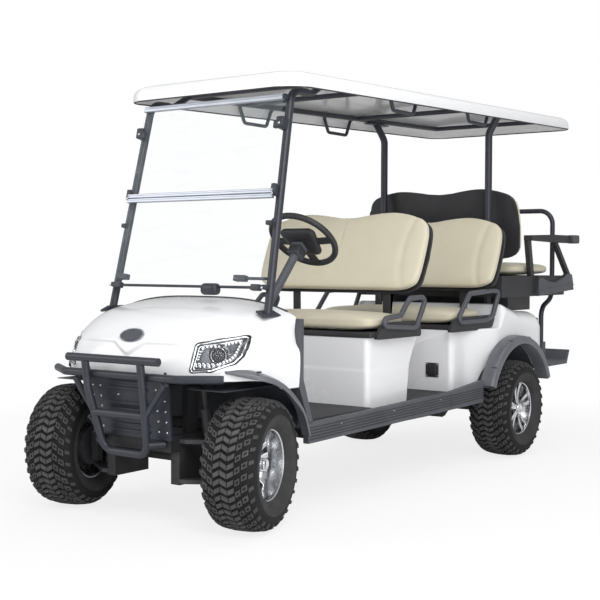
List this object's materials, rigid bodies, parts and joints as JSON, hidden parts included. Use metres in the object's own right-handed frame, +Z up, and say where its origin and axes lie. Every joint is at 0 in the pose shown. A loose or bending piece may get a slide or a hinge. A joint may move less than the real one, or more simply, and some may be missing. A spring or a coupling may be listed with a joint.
{
  "type": "six-seat golf cart",
  "caption": "Lifted electric golf cart with two forward benches, a rear-facing bench, a long canopy, a folding windshield, a brush guard and off-road tyres.",
  "frame": {"origin": "on the floor under the middle of the cart's outline", "axes": "-Y towards the front of the cart, +X towards the driver's left, +Z up"},
  "size_m": [1.3804, 3.9115, 2.1336],
  "materials": {
    "tyre": "matte rubber",
    "wheel_alloy": "machined",
    "cast_parts": "raw casting",
    "bright_steel": "brushed",
    "chassis_paint": "satin black powder coat",
    "battery_case": "matte",
    "dark_plastic": "fine grain",
    "floor_rubber": "ribbed",
    "grey_plastic": "fine grain",
    "body_white": "gloss",
    "lamp_glass": "clear",
    "frame_black": "semi-gloss black",
    "clear_pane": "clear",
    "bright_rail": "brushed",
    "seat_vinyl": "grained vinyl",
    "tube_grey": "satin grey"
  },
  "bodies": {
    "cart": {"rear_axle": "cast_parts", "suspension": "chassis_paint", "chassis_frame": "chassis_paint", "battery_pack": "battery_case", "floor_pan": "dark_plastic", "floor_mats": "floor_rubber", "body_trims": "grey_plastic", "front_cowl": "body_white", "lamps": "lamp_glass", "inner_panels": "dark_plastic", "wheel_flares": "grey_plastic", "dash_panel": "dark_plastic", "brush_guard": "frame_black", "canopy_struts": "frame_black", "windshield_panes": "clear_pane", "windshield_rails": "bright_rail", "roof_shell": "body_white", "roof_frame": "frame_black", "seat_pod_front": "body_white", "rear_body": "body_white", "backrest_cushions": "seat_vinyl", "backrest_shells": "dark_plastic", "armrests": "tube_grey", "bench_base": "grey_plastic", "bench_cushion": "seat_vinyl", "bench_armrests": "grey_plastic", "grab_hoop": "frame_black", "foot_platform": "grey_plastic", "driver_controls": "dark_plastic"},
    "steer_left": {"knuckle_left": "cast_parts"},
    "steer_right": {"knuckle_right": "cast_parts"},
    "wheel_fl": {"tyre_fl": "tyre", "rim_fl": "wheel_alloy"},
    "wheel_fr": {"tyre_fr": "tyre", "rim_fr": "wheel_alloy"},
    "wheel_rl": {"tyre_rl": "tyre", "rim_rl": "wheel_alloy"},
    "wheel_rr": {"tyre_rr": "tyre", "rim_rr": "wheel_alloy"},
    "steering": {"steering_wheel": "dark_plastic"},
    "tie_rod": {"tie_rod": "bright_steel"},
    "seat_front": {"seat_pan_front": "dark_plastic", "seat_cushion_front": "seat_vinyl"},
    "seat_middle": {"seat_pan_middle": "dark_plastic", "seat_cushion_middle": "seat_vinyl"}
  },
  "joints": [
    {"name": "steer_left", "type": "hinge", "parent": "cart", "child": "steer_left", "pos_m": [0.4, -1.6245, 0.2875], "axis": [0, 0, 1], "range_deg": [-40, 12]},
    {"name": "steer_right", "type": "hinge", "parent": "cart", "child": "steer_right", "pos_m": [-0.4, -1.6245, 0.2875], "axis": [0, 0, 1], "range_deg": [-40, 12]},
    {"name": "steering_wheel", "type": "hinge", "parent": "cart", "child": "steering", "pos_m": [0.255, -0.8595, 1.27], "axis": [0, 0.6691, 0.7431], "range_deg": [-480, 144]},
    {"name": "tie_rod_slide", "type": "slide", "parent": "cart", "child": "tie_rod", "axis": [1, 0, 0], "range_m": [-0.0205, 0.068]},
    {"name": "wheel_fl", "type": "hinge", "parent": "steer_left", "child": "wheel_fl", "pos_m": [0.50964, -1.59716, 0.2875], "axis": [0.9703, 0.2419, 0], "continuous": true},
    {"name": "wheel_fr", "type": "hinge", "parent": "steer_right", "child": "wheel_fr", "pos_m": [-0.50964, -1.65184, 0.2875], "axis": [0.9703, 0.2419, 0], "continuous": true},
    {"name": "wheel_rl", "type": "hinge", "parent": "cart", "child": "wheel_rl", "pos_m": [0.513, 0.8955, 0.2875], "axis": [1, 0, 0], "continuous": true},
    {"name": "wheel_rr", "type": "hinge", "parent": "cart", "child": "wheel_rr", "pos_m": [-0.513, 0.8955, 0.2875], "axis": [1, 0, 0], "continuous": true},
    {"name": "seat_front_lid", "type": "hinge", "parent": "cart", "child": "seat_front", "pos_m": [0, -0.5795, 0.775], "axis": [1, 0, 0], "range_deg": [0, 90]},
    {"name": "seat_middle_lid", "type": "hinge", "parent": "cart", "child": "seat_middle", "pos_m": [0, 0.3005, 0.775], "axis": [1, 0, 0], "range_deg": [0, 90]}
  ],
  "couplings": [
    {"joint": "steer_right", "follows": "steer_left", "ratio": 1},
    {"joint": "steering_wheel", "follows": "steer_left", "ratio": 12},
    {"joint": "tie_rod_slide", "follows": "steer_left", "m_per_rad": -0.0965}
  ]
}
